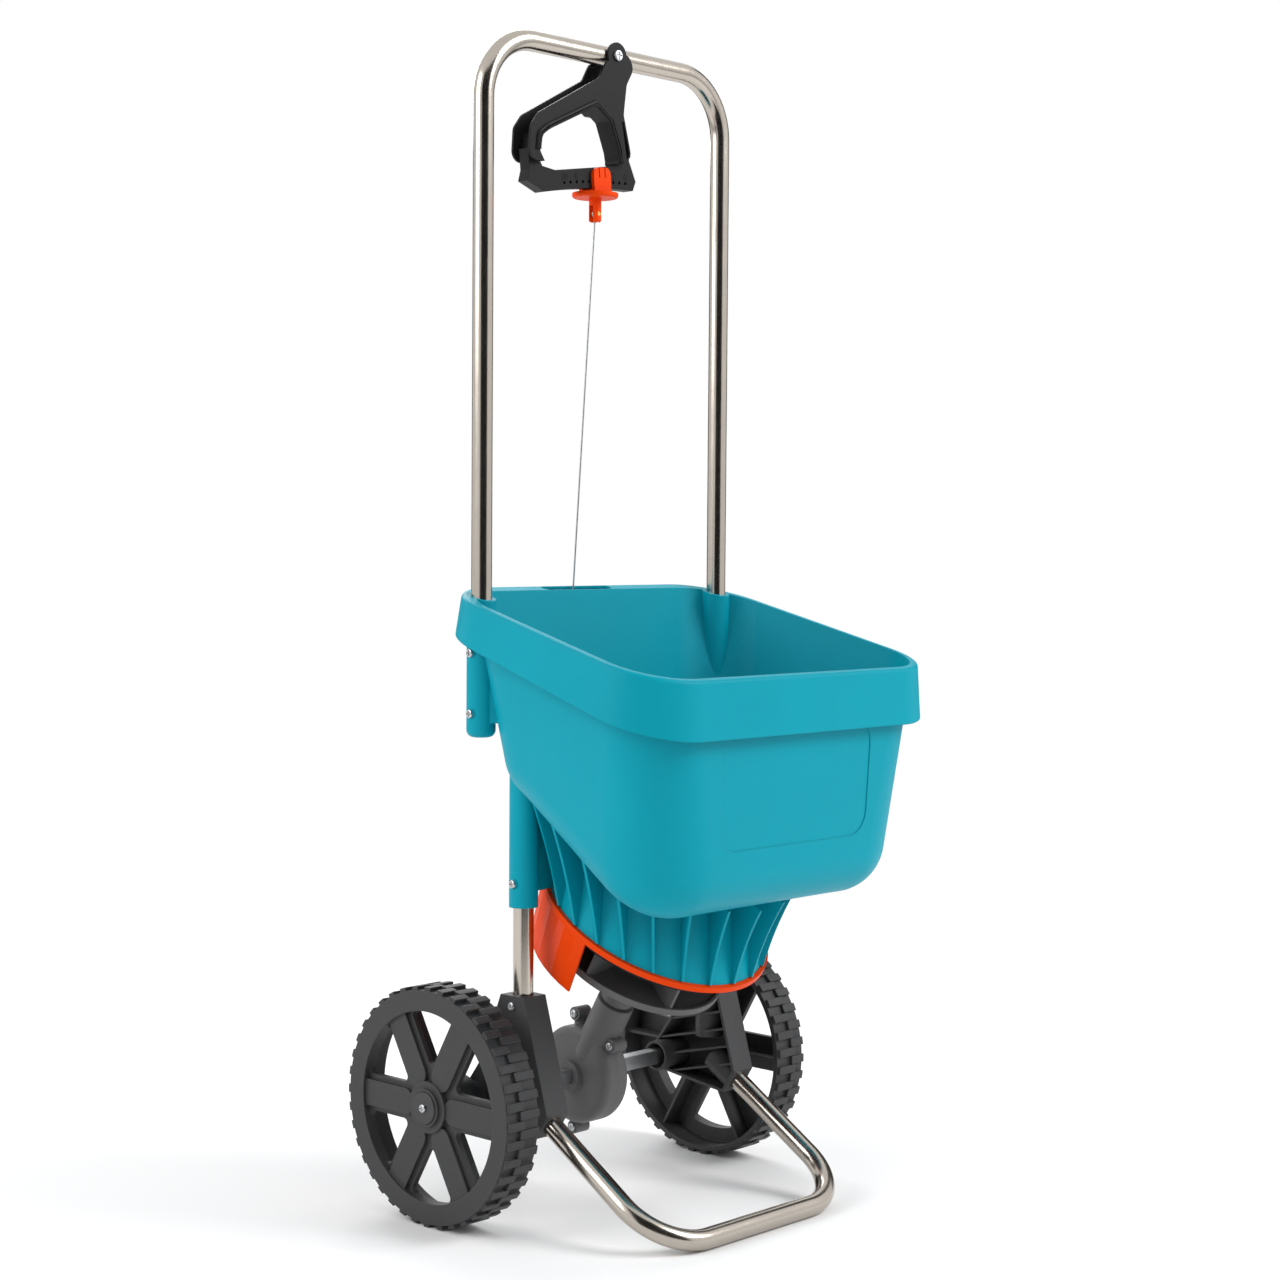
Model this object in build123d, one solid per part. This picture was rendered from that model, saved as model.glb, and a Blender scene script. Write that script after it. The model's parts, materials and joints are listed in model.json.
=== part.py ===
"""Garden spreader: a broadcast spreader with a hopper on two wheels, a handle and a spinning disc.

Millimetres, +Z up, front towards -Y. The model is laid out from the ground point under the middle of
the axle, and every piece is shifted along Y at the end, so that the origin is the middle of the base.
"""
import os
from math import asin, atan2, cos, degrees, hypot, pi, radians, sin, tan

from build123d import *

# Tubes
TUBE_OD = 20.0
TUBE_WALL = 1.2
TUBE_SLIP = 0.05            # radial clearance of a tube in its socket
SOCKET_WALL = 4.0           # moulding round a tube

# Handle
HANDLE_HALF = 168.5         # tube axis from the middle plane
HANDLE_Y = -26.0            # tube axis, measured from the axle
CROSSBAR_Z = 1140.0
HANDLE_BEND = 62.0
HANDLE_DEPTH = 118.0        # length of tube inside the hopper's sleeve
LEVER_LOBE_R = 13.0

# Wheels and axle
WHEEL_R = 116.0
WHEEL_WIDTH = 40.0
WHEEL_FACE_X = 214.0        # outer face of a wheel
TREAD_LUGS = 40
TREAD_HEIGHT = 3.5
LUG_SHARE = 0.45            # share of the tread's pitch that a lug takes
TREAD_WALL = 5.0
INNER_LUG = 5.0             # overlap of the inner row of lugs with the outer row
WHEEL_SPOKES = 6
SPOKE_WIDTH = 36.0
WINDOW_CORNER = 5.0
RIM_BAND = 20.0             # flat ring of the wheel's face
WEB_THICK = 6.0
WEB_RECESS = 7.0            # web below the outer face
PAD_RAISE = 4.0             # raised pad on each spoke
HUB_R = 25.0
HUB_BACK_X = 166.0
HUB_GAP = 0.5               # wheel hub to bracket boss
CAP_R = 15.5
HUB_PROUD = 2.0             # hub beyond the wheel's face
CAP_SEAT = 1.5              # depth of the cap's seat
CAP_THICK = 3.0
AXLE_SIDE = 14.5
AXLE_PLAY = 0.05            # square axle in its square holes
RUNNING = 0.08              # radial clearance of a turning shaft
AXLE_END_IN = 7.0           # axle ends below the wheel's face

# Legs, brackets and stand
LEG_HALF = 135.0
LEG_Y = -51.0
LEG_LOW_Z = 145.0
LEG_TOP_Z = 405.0
BRACKET_TOP_Z = 222.0
BRACKET_WIDTH = 29.0
BRACKET_WALL = 3.0
BRACKET_RIBS = 4
RIB_PITCH = 18.6
RIB_FIRST_Z = 108.6         # lowest rib where it passes the leg
RIB_LEAN = 13.7             # ribs rise towards the front, degrees
RIB_THICK = 2.2
BOSS_R = 15.5
BOSS_BORE_R = 13.0
BOSS_IN_X = 108.0
BUSH_IN_X = 126.0
STAND_FRONT_Y = -238.0
STAND_BEND = 60.0
STAND_MOUTH_Y = -92.0       # where a stand leg leaves its bracket
STAND_MOUTH_Z = 101.0
STAND_DEPTH = 34.0

# Discharge axis, through the middle of the axle and leaning forward
AXIS_TILT = 30.0
NECK_R = 114.0
NECK_WALL = 3.9
NECK_LOW = 197.0            # heights along the axis, from the axle
NECK_LIP_TOP = 203.0
NECK_TOP_R = 97.0           # where the neck meets the bottom plane
NECK_TOP_Y = -116.0
SNAP_DEPTH = 1.7
SNAP_WIDTH = 2.4

# Hopper
WALL = 3.0
RIM_Z = 605.0               # rim plane at the handle tubes
RIM_TILT = 14.5
RIM_REAR = 37.0             # behind the handle tubes
RIM_FRONT = 274.0
RIM_HALF_REAR = 196.0
RIM_HALF_FRONT = 213.5
RIM_CORNER_REAR = 70.0
RIM_CORNER_FRONT = 62.0
LIP_DEPTH = 40.0            # at the handle tubes
LIP_TILT = 17.2             # lower edge of the lip
LIP_FLARE = 6.0
LIP_ROUND = 4.0             # outer edge of the rim
LEDGE_SIDE = 5.0            # lip outline to bowl wall at the rim
LEDGE_REAR = 14.0
BOTTOM_TILT = 33.3
BOTTOM_Y = -220.0           # a point of the bottom plane
BOTTOM_Z = 314.0
BOTTOM_HALF_FRONT = 184.0
BOTTOM_HALF_REAR = 164.0
BOTTOM_FRONT = 59.6         # along the bottom plane from that point
BOTTOM_REAR = 226.0
BOTTOM_CORNER_FRONT = 80.0
BOTTOM_CORNER_REAR = 66.0
BOTTOM_ROUND = 44.0
NECK_RIBS = 15
NECK_RIB_STEP = 15.0        # degrees round the axis
NECK_RIB_THICK = 3.0
NECK_RIB_FOOT = 3.0         # reach of a rib at the ring
NECK_RIB_LIFT = 1.5         # rib above the deflector's ring
NECK_RIB_HEAD = 33.0        # reach of a rib under the bowl
LOWER_SLEEVE_Z = 307.0
LOWER_SLEEVE_TOP_Z = 460.0  # the sleeve ends in the bowl's wall
UPPER_SLEEVE_Z = 471.0
UPPER_SCREWS = (23.0, 81.0)  # above the sleeve's lower end
LOWER_SCREW = 23.0
SLEEVE_WEB = 5.0
WIRE_SLOT_LENGTH = 96.0
WIRE_SLOT_WIDTH = 12.0
WIRE_SLOT_X = -14.0
PANEL_WIDTH = 214.0         # shallow field on the front wall
PANEL_HEIGHT = 112.0
PANEL_RISE = 152.0
PANEL_CORNER = 24.0
PANEL_DEPTH = 0.8

# Spinner, floor and shutter, heights along the discharge axis
FLOOR_LOW = 190.0
FLOOR_TOP = 205.0
FLOOR_EDGE = 202.0          # top of the plate's outer edge
FLOOR_PAD_R = 98.0
FLOOR_WEB = 4.0
OUTLET_WIDTH = 24.0
OUTLET_LENGTH = 18.0
OUTLET_OFFSET = 34.0
SHUTTER_THICK = 3.0
SHUTTER_TRAVEL = 30.0
SHUTTER_HALF = 60.0
SHUTTER_GAP = 0.3
TAIL_END = 162.0
TAIL_LEFT = -27.0
TAIL_RIGHT = 17.0
TAIL_SHOULDER = 40.0        # half width of the plate where the tail starts
SHAFT_R = 3.5
SHAFT_LOW = 22.0
SHAFT_TOP = 245.0
SPINNER_R = 90.0
SPINNER_LOW = 146.0
SPINNER_RIM = 7.0
SPINNER_PLATE = 3.0
VANES = 6
VANE_THICK = 2.5
VANE_TOP = 186.0
VANE_REACH = 88.0
VANE_PHASE = 10.0
COLLAR_R = 16.5
COLLAR_LOW = 94.0
AGITATOR_HUB = 22.0
AGITATOR_R = 2.5
AGITATOR_REACH = 50.0

# Return spring of the shutter
PIN_R = 2.5
PIN_HEIGHT = 217.0
PIN_X = 8.0
PIN_END = 204.5
PIN_HEAD_R = 7.0
PIN_HEAD = 3.0
PIN_BOSS_R = 6.0
PIN_BOSS_END = 121.0
LUG_THICK = 3.0
LUG_AT = 156.0
SPRING_R = 4.4
SPRING_WIRE_R = 0.6
SPRING_TURNS = 9

# Gearbox
CASE_R = 50.0
CASE_WALL = 3.0
CASE_HALF = 17.5
CASE_ROUND = 8.0
CASE_NECK_R = 19.5
CASE_NECK_LOW = 10.0        # rounded lower end of the case's neck
CASE_NECK_TOP = 92.0
CASE_COLLAR_R = 15.5
CASE_COLLAR_X = 23.5
CASE_EARS = ((4.0, 61.0), (-46.0, 35.0), (6.0, -56.0)) # along Y and up from the axle
EAR_R = 7.0
EAR_HALF = 9.0
CROWN_TEETH = 36
PINION_TEETH = 9
GEAR_MODULE = 2.0
GEAR_FACE = 10.0
GEAR_BACK = 2.4             # blank behind the teeth
TOOTH_FILL = 0.80           # share of half a pitch that a tooth takes
TOOTH_TIP = 0.8             # tooth above and below the pitch line, in modules
TOOTH_ROOT = 1.15
TOOTH_WIDE = 1.35           # root and tip width against the pitch line
TOOTH_SLIM = 0.55
TOOTH_SINK = 0.15           # root of a tooth inside its blank
GEAR_HUB_R = 12.2
SHAFT_BUSH_R = 7.0
SHAFT_BUSH_LENGTH = 22.0

# Deflector
DEFLECTOR_GAP = 0.3
DEFLECTOR_R = 119.0
DEFLECTOR_TOP = 203.0
DEFLECTOR_BAND = 6.0
SKIRT_LOW = 137.0
SKIRT_LOW_R = 109.0
SKIRT_THICK = 2.5
SKIRT_PLEAT = 3.0
SKIRT_HALF_ANGLE = 100.0
SKIRT_PLEATS = 14

# Control lever and dosing slider, measured from the lever's pivot
LEVER_PLATE = 2.4
LEVER_SIDE_GAP = 0.4        # plate to crossbar
LEVER_WEB = 3.0
LEVER_CORNER = 11.0         # rounding of the side plates' outline
BAR_RIGHT = (30.0, -129.5)
BAR_LEFT = (-94.0, -143.5)
BAR_RADIUS = 636.0          # of the bar's lower edge, about the height of the wire's lower end
BAR_THICK = 13.0
BAR_CLIP = 20.0             # height of the bar that the slider's clip covers
SCALE_STEPS = 10
SCALE_STEP = 8.6
SCALE_ZERO_X = 19.0
SCALE_HOLE_R = 1.6
SCALE_HOLE_RISE = 6.5       # above the bar's lower edge
COLUMN_SLOT = 4.5           # slot in the lever's right-hand column
SLIDER_X = -17.3
SLIDER_WIDTH = 24.0
SLIDER_WALL = 4.0
SLIDER_TIP = 7.0            # rounding of the tongue
SLIDER_GAP = 0.4
SLIDER_SLIT = 1.4
REAR_HOOK = 8.0             # rear lip of the clip above the bar's lower edge
SLIDER_FLANGE_R = 23.0
SLIDER_FLANGE = 5.0
STEM_R = 6.2
STEM_LENGTH = 23.5
BARREL_R = 2.2
BARREL_ABOVE = 8.0          # barrel axis above the stem's end
WIRE_R = 0.9
WIRE_SLOT = 5.0             # gap between the stem's cheeks
WIRE_REAR_Y = 1.5           # where the wire passes the rim
NIPPLE_DROP = 5.4           # lower end of the wire below the lug's pin hole
NIPPLE_R = 3.5
NIPPLE_LENGTH = 8.0
EYE_GAP = 0.3               # eye of the wire round the barrel
PIVOT_R = 3.0
BOLT_PLAY = 0.3             # lever plate to bolt head and nut
NUT_HEIGHT = 5.0

# Fasteners
SCREW_R = 2.0
SCREW_HEAD_R = 4.2
SCREW_HEAD = 2.6
SCREW_LENGTH = 14.0

# Derived places
TUBE_R = TUBE_OD / 2
SOCKET_R = TUBE_R + TUBE_SLIP
SLEEVE_R = SOCKET_R + SOCKET_WALL
AXLE_Z = WHEEL_R
TILT = radians(AXIS_TILT)
FORWARD_REACH = (RIM_FRONT + LIP_FLARE) * cos(radians(LIP_TILT)) - HANDLE_Y
BASE_SHIFT = (FORWARD_REACH - WHEEL_R) / 2
DISC = Plane(origin=(0, 0, AXLE_Z), x_dir=(1, 0, 0), z_dir=(0, -sin(TILT), cos(TILT)))
WIRE_END_Z = AXLE_Z + PIN_HEIGHT * cos(TILT) + LUG_AT * sin(TILT) - NIPPLE_DROP
RIM = Plane(origin=(0, HANDLE_Y, RIM_Z), x_dir=(1, 0, 0),
            z_dir=(0, -sin(radians(RIM_TILT)), cos(radians(RIM_TILT))))
LIP_EDGE = Plane(origin=(0, HANDLE_Y, RIM_Z - LIP_DEPTH), x_dir=(1, 0, 0),
                 z_dir=(0, -sin(radians(LIP_TILT)), cos(radians(LIP_TILT))))
BOTTOM = Plane(origin=(0, BOTTOM_Y, BOTTOM_Z), x_dir=(1, 0, 0),
               z_dir=(0, -sin(radians(BOTTOM_TILT)), cos(radians(BOTTOM_TILT))))
NECK_INNER = NECK_R - NECK_WALL
PIVOT_Y = HANDLE_Y
LEVER_PLANE = Plane(origin=(0, PIVOT_Y, CROSSBAR_Z), x_dir=(1, 0, 0), z_dir=(0, -1, 0))
LEVER_INNER = TUBE_R + LEVER_SIDE_GAP
LEVER_HALF = LEVER_INNER + LEVER_PLATE
BAR_CHORD = Vector(*BAR_RIGHT) - Vector(*BAR_LEFT)
BAR_CENTRE = ((Vector(*BAR_RIGHT) + Vector(*BAR_LEFT)) / 2 + Vector(BAR_CHORD.Y, -BAR_CHORD.X).normalized()
              * (BAR_RADIUS ** 2 - BAR_CHORD.length ** 2 / 4) ** 0.5)
BAR_SLOPE = asin((BAR_CENTRE.X - SLIDER_X) / BAR_RADIUS)
UP_BASE = (Align.CENTER, Align.CENTER, Align.MIN)


def drum(radius, low, high):
    """Cylinder on the Z axis between two heights."""
    return Pos(0, 0, low) * Cylinder(radius, high - low, align=UP_BASE)


def rod(radius, start, end):
    """Cylinder between two points."""
    line = Vector(*end) - Vector(*start)
    at = Plane(origin=start, z_dir=line)
    return at.location * Cylinder(radius, line.length, align=UP_BASE)


def block(low, high):
    """Box between two corners."""
    size = [b - a for a, b in zip(low, high)]
    middle = [(a + b) / 2 for a, b in zip(low, high)]
    return Pos(*middle) * Box(*size)


def on_disc(shape):
    """Places a shape that was drawn round +Z onto the discharge axis."""
    return DISC.location * shape


def mirrored(shape):
    """The other side's piece."""
    return mirror(shape, about=Plane.YZ)


def outline(points, corner_rear, corner_front):
    """Four-cornered face with rounded corners, drawn in a section plane."""
    face = make_face(Polyline(*points, close=True))
    face = fillet(face.vertices().sort_by(Axis.Y)[:2], corner_front)
    return fillet(face.vertices().sort_by(Axis.Y)[-2:], corner_rear)


def rim_outline(side, rear):
    """Outline in the rim plane, set in from the lip's outer edge."""
    back, front = RIM_REAR - rear, side - RIM_FRONT
    points = [(side - RIM_HALF_REAR, back), (side - RIM_HALF_FRONT, front),
              (RIM_HALF_FRONT - side, front), (RIM_HALF_REAR - side, back)]
    return outline(points, RIM_CORNER_REAR - side, RIM_CORNER_FRONT - side)


def bottom_outline(inset):
    """Outline in the bottom plane, before its edge is rounded."""
    points = [(inset - BOTTOM_HALF_REAR, BOTTOM_REAR - inset),
              (inset - BOTTOM_HALF_FRONT, inset - BOTTOM_FRONT),
              (BOTTOM_HALF_FRONT - inset, inset - BOTTOM_FRONT),
              (BOTTOM_HALF_REAR - inset, BOTTOM_REAR - inset)]
    return outline(points, BOTTOM_CORNER_REAR - inset, BOTTOM_CORNER_FRONT - inset)


def bowl(inset, rise, sink):
    """Bowl from the rim to the rounded bottom; an inset of one wall gives the cavity."""
    top = RIM.offset(rise) * rim_outline(LEDGE_SIDE + inset, LEDGE_REAR + inset)
    base_plane = BOTTOM.offset(sink)
    shape = loft([base_plane * bottom_outline(inset), top], ruled=True)
    low = [f for f in shape.faces() if abs(base_plane.to_local_coords(f.center()).Z) < 0.01]
    return fillet(low[0].edges(), BOTTOM_ROUND - inset)


def neck(inset):
    """Neck from its leaning ring up to a smaller circle in the bowl's bottom."""
    mouth = BOTTOM.to_local_coords(Vector(0, NECK_TOP_Y, bottom_height(NECK_TOP_Y)))
    top = BOTTOM.offset(WALL) * (Pos(0, mouth.Y) * Circle(NECK_TOP_R - inset))
    return loft([DISC.offset(NECK_LIP_TOP) * Circle(NECK_R - inset), top], ruled=True)


def rim_lip():
    """Turned-down rim: a top ledge with a rounded edge and a flared skirt that is deepest in front."""
    def skirt(inset, top, depth):
        upper = RIM.offset(top) * rim_outline(inset, inset)
        lower = Pos(0, 0, -depth) * (LIP_EDGE * rim_outline(inset - LIP_FLARE, inset - LIP_FLARE))
        return loft([lower, upper], ruled=True)
    outside = skirt(0, 0, 0)
    ledge = [f for f in outside.faces() if abs(RIM.to_local_coords(f.center()).Z) < 0.01]
    return fillet(ledge[0].edges(), LIP_ROUND) - skirt(WALL, -WALL, 1)


def bottom_height(y):
    """Height of the bowl's flat bottom."""
    return BOTTOM_Z + (y - BOTTOM_Y) * tan(radians(BOTTOM_TILT))


def neck_rib(angle):
    """Upright rib between the neck's ring and the underside of the bowl."""
    def on_ring(radius):
        return DISC.from_local_coords(Vector(radius * cos(angle), radius * sin(angle), NECK_LIP_TOP + NECK_RIB_LIFT))

    def under_bowl(point):
        return Vector(point.X, point.Y, bottom_height(point.Y) + 2 * WALL)
    middle, foot = on_ring(0), on_ring(NECK_R + NECK_RIB_FOOT)
    inner = on_ring(NECK_R - NECK_WALL / 2)
    out = Vector(foot.X - middle.X, foot.Y - middle.Y, 0).normalized()
    head = under_bowl(foot + out * NECK_RIB_HEAD)
    deep = under_bowl(inner - out * (NECK_R - NECK_TOP_R + WALL))
    waist = (foot + head) * 0.5 - out * WALL
    face = make_face(Curve() + [Spline(foot, waist, head), Polyline(head, deep, inner, foot)])
    return extrude(face, amount=NECK_RIB_THICK / 2, both=True)


def lower_sleeve(side):
    """Sleeve for a leg tube, with the web that ties it to the neck."""
    x = side * LEG_HALF
    sleeve = Pos(x, LEG_Y, 0) * drum(SLEEVE_R, LOWER_SLEEVE_Z, LOWER_SLEEVE_TOP_Z)
    near, far = sorted((x, side * NECK_R * 0.8))
    web = block((near, LEG_Y - SLEEVE_WEB / 2, LOWER_SLEEVE_Z + SLEEVE_R),
                (far, LEG_Y + SLEEVE_WEB / 2, LEG_TOP_Z + 4 * WALL))
    turning_room = on_disc(drum(DEFLECTOR_R + 3, 0, DEFLECTOR_TOP + 2))
    return sleeve + (web - turning_room)


def upper_sleeve(side):
    """Sleeve for a handle tube, standing in the bowl's rear corner."""
    column = drum(SLEEVE_R, UPPER_SLEEVE_Z, RIM_Z + SLEEVE_R)
    column = fillet(column.edges().sort_by(Axis.Z)[:1], SLEEVE_R * 0.5)
    return split(Pos(side * HANDLE_HALF, HANDLE_Y, 0) * column, bisect_by=RIM, keep=Keep.BOTTOM)


def sleeve_fairing(side):
    """Thickening between an upper sleeve and the bowl's rear corner."""
    fairing = block((0, -SLEEVE_R * 0.8, UPPER_SLEEVE_Z + SLEEVE_R), (4 * SLEEVE_R, SLEEVE_R * 0.8, RIM_Z - LIP_DEPTH))
    return Location((side * HANDLE_HALF, HANDLE_Y, 0), (0, 0, -90 - side * 45)) * fairing


def front_panel():
    """Shallow rounded field on the bowl's front wall."""
    low = BOTTOM.from_local_coords(Vector(0, -BOTTOM_FRONT, 0))
    high = RIM.from_local_coords(Vector(0, LEDGE_SIDE - RIM_FRONT, 0))
    up = (high - low).normalized()
    wall = Plane(origin=low + up * PANEL_RISE, x_dir=(1, 0, 0), z_dir=(0, -up.Z, up.Y))
    field = RectangleRounded(PANEL_WIDTH, PANEL_HEIGHT, PANEL_CORNER)
    return wall.location * extrude(field, amount=PANEL_DEPTH, both=True)


def screw_axes():
    """Heads' places of the screws that hold the tubes, with the side they are on."""
    places = []
    for side in (-1, 1):
        for rise in UPPER_SCREWS:
            places.append((side, Vector(side * (HANDLE_HALF + SLEEVE_R), HANDLE_Y, UPPER_SLEEVE_Z + rise)))
        places.append((side, Vector(side * (LEG_HALF + SLEEVE_R), LEG_Y, LOWER_SLEEVE_Z + LOWER_SCREW)))
    return places


def screw(side, head, radius=SCREW_R, length=SCREW_LENGTH):
    """Pan-head screw that points inwards along X from a head's seat."""
    out = Vector(side, 0, 0)
    top = rod(SCREW_HEAD_R, head, head + out * SCREW_HEAD)
    top = fillet(top.edges().group_by(Axis.X)[-1 if side > 0 else 0], SCREW_HEAD * 0.6)
    slot = Pos(*(head + out * SCREW_HEAD)) * Box(SCREW_HEAD, SCREW_HEAD_R * 1.3, 0.9)
    cross = Pos(*(head + out * SCREW_HEAD)) * Box(SCREW_HEAD, 0.9, SCREW_HEAD_R * 1.3)
    return top + rod(radius, head, head - out * length) - slot - cross


def screw_holes():
    """Clearance round every tube screw."""
    return [rod(SCREW_R + TUBE_SLIP, head + Vector(side, 0, 0), head - Vector(side * SCREW_LENGTH * 1.1, 0, 0))
            for side, head in screw_axes()]


def screw_seat(side, head):
    """Flat boss under a tube screw's head."""
    return rod(SCREW_HEAD_R + 1.2, head - Vector(side * SLEEVE_R / 2, 0, 0), head)


def wire_at(z):
    """Point of the pull wire's straight line at a height."""
    top = barrel_axis()
    rim_z = RIM_Z + (WIRE_REAR_Y - HANDLE_Y) * tan(radians(RIM_TILT))
    share = (top.Z - z) / (top.Z - rim_z)
    return Vector(top.X, top.Y + (WIRE_REAR_Y - top.Y) * share, z)


def barrel_axis():
    """Middle of the brass barrel in the slider's stem."""
    drop = SLIDER_GAP + SLIDER_WALL + SLIDER_FLANGE + STEM_LENGTH - BARREL_ABOVE
    return Vector(SLIDER_X, PIVOT_Y, CROSSBAR_Z + bar_height(SLIDER_X) - drop)


def hopper():
    """Bowl, turned-down rim, sleeves and ribbed neck in one moulding."""
    body = rim_lip() + bowl(0, 0, 0) + neck(0)
    body += on_disc(drum(NECK_R, NECK_LOW, NECK_LIP_TOP + 0.01))
    first = -90 - NECK_RIB_STEP * (NECK_RIBS - 1) / 2
    body += [neck_rib(radians(first + NECK_RIB_STEP * k)) for k in range(NECK_RIBS)]
    for side in (-1, 1):
        body += lower_sleeve(side) + sleeve_fairing(side)
    body += on_disc(rod(PIN_BOSS_R, (PIN_X, NECK_TOP_R, PIN_HEIGHT), (PIN_X, PIN_BOSS_END, PIN_HEIGHT)))
    body -= bowl(WALL, 1, WALL)
    body -= neck(NECK_WALL)
    body -= on_disc(drum(NECK_INNER, NECK_LOW - 1, NECK_LIP_TOP + 0.01))
    body += [upper_sleeve(-1), upper_sleeve(1)]
    body += [screw_seat(*place) for place in screw_axes()]
    for side in (-1, 1):
        body -= Pos(side * HANDLE_HALF, HANDLE_Y, 0) * drum(SOCKET_R, RIM_Z - HANDLE_DEPTH, CROSSBAR_Z)
        body -= Pos(side * LEG_HALF, LEG_Y, 0) * drum(SOCKET_R, 0, LEG_TOP_Z)
    return body - screw_holes() - snap_groove() - wire_slot() - tail_slot() - front_panel()


def snap_groove():
    """Groove round the neck's lip for the deflector's ridge."""
    low = snap_height() - DEFLECTOR_GAP
    ring = drum(NECK_R + 1, low, low + SNAP_WIDTH + 2 * DEFLECTOR_GAP)
    return on_disc(ring - drum(NECK_R - SNAP_DEPTH - DEFLECTOR_GAP, 0, NECK_LIP_TOP))


def snap_height():
    """Lower edge of the deflector's ridge along the discharge axis."""
    return (NECK_LOW + NECK_LIP_TOP - SNAP_WIDTH) / 2


def wire_slot():
    """Slot in the rear of the rim that the pull wire passes."""
    at = RIM.to_local_coords(Vector(WIRE_SLOT_X, WIRE_REAR_Y, RIM_Z))
    slot = extrude(SlotOverall(WIRE_SLOT_LENGTH, WIRE_SLOT_WIDTH), amount=2 * WALL, both=True)
    return RIM.location * (Pos(at.X, at.Y, 0) * slot)


def tail_slot():
    """Way out for the shutter's tail and hole for its guide pin in the neck's rear wall."""
    room = 2 * SHUTTER_GAP
    slot = block((TAIL_LEFT - room, NECK_TOP_R, FLOOR_TOP),
                 (TAIL_RIGHT + room, TAIL_END, FLOOR_TOP + SHUTTER_THICK + 2 * room))
    return on_disc(slot + rod(PIN_R + TUBE_SLIP, (PIN_X, pin_start(), PIN_HEIGHT), (PIN_X, PIN_END, PIN_HEIGHT)))


def pin_start():
    """Inner end of the guide pin, inside its boss."""
    return PIN_BOSS_END - 3 * WALL


def bent_tube(points, radius):
    """Round tube along a path with one bend radius."""
    path = FilletPolyline(*points, radius=radius)
    ring = Circle(TUBE_R) - Circle(TUBE_R - TUBE_WALL)
    return sweep(Plane(origin=path @ 0, z_dir=path % 0) * ring, path=path)


def handle_tube():
    low = RIM_Z - HANDLE_DEPTH
    points = [(-HANDLE_HALF, HANDLE_Y, low), (-HANDLE_HALF, HANDLE_Y, CROSSBAR_Z),
              (HANDLE_HALF, HANDLE_Y, CROSSBAR_Z), (HANDLE_HALF, HANDLE_Y, low)]
    tube = bent_tube(points, HANDLE_BEND) - screw_holes()
    return tube - rod(PIVOT_R + RUNNING, (0, HANDLE_Y - TUBE_OD, CROSSBAR_Z), (0, HANDLE_Y + TUBE_OD, CROSSBAR_Z))


def leg_tube(side):
    tube = drum(TUBE_R, LEG_LOW_Z, LEG_TOP_Z) - drum(TUBE_R - TUBE_WALL, 0, CROSSBAR_Z)
    return Pos(side * LEG_HALF, LEG_Y, 0) * tube - screw_holes() - bracket_screw_hole(side)


def stand_line():
    """Unit vector along a stand leg, from the front bar up to the bracket."""
    return Vector(0, STAND_MOUTH_Y - STAND_FRONT_Y, STAND_MOUTH_Z - TUBE_R).normalized()


def stand_top(side, depth):
    mouth = Vector(side * LEG_HALF, STAND_MOUTH_Y, STAND_MOUTH_Z)
    return mouth + stand_line() * depth


def stand_tube():
    front = (STAND_FRONT_Y, TUBE_R)
    points = [stand_top(-1, STAND_DEPTH), (-LEG_HALF, *front), (LEG_HALF, *front), stand_top(1, STAND_DEPTH)]
    return bent_tube(points, STAND_BEND)


def bracket_side():
    """Side outline of a bracket, drawn as (y, z)."""
    lean = stand_line()
    mouth = Vector(0, STAND_MOUTH_Y, STAND_MOUTH_Z)
    across = Vector(0, lean.Z, -lean.Y) * SLEEVE_R
    low, high = mouth + across, mouth - across
    points = [(LEG_Y - SLEEVE_R - 2, BRACKET_TOP_Z), (LEG_Y + SLEEVE_R + 2, BRACKET_TOP_Z),
              (-BOSS_R / 2, AXLE_Z + 2.5 * BOSS_R), (BOSS_R, AXLE_Z + BOSS_R / 2),
              (BOSS_R / 2, AXLE_Z - BOSS_R), (LEG_Y, AXLE_Z - 1.5 * BOSS_R),
              (low.Y, low.Z), (high.Y, high.Z)]
    return make_face(Polyline(*points, close=True))


def bracket_screw_head(side):
    return Vector(side * (LEG_HALF + BRACKET_WIDTH / 2), LEG_Y, BRACKET_TOP_Z - 10)


def bracket_screw_hole(side):
    head = bracket_screw_head(side)
    return rod(SCREW_R + TUBE_SLIP, head + Vector(side, 0, 0), head - Vector(side * SCREW_LENGTH * 1.1, 0, 0))


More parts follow.
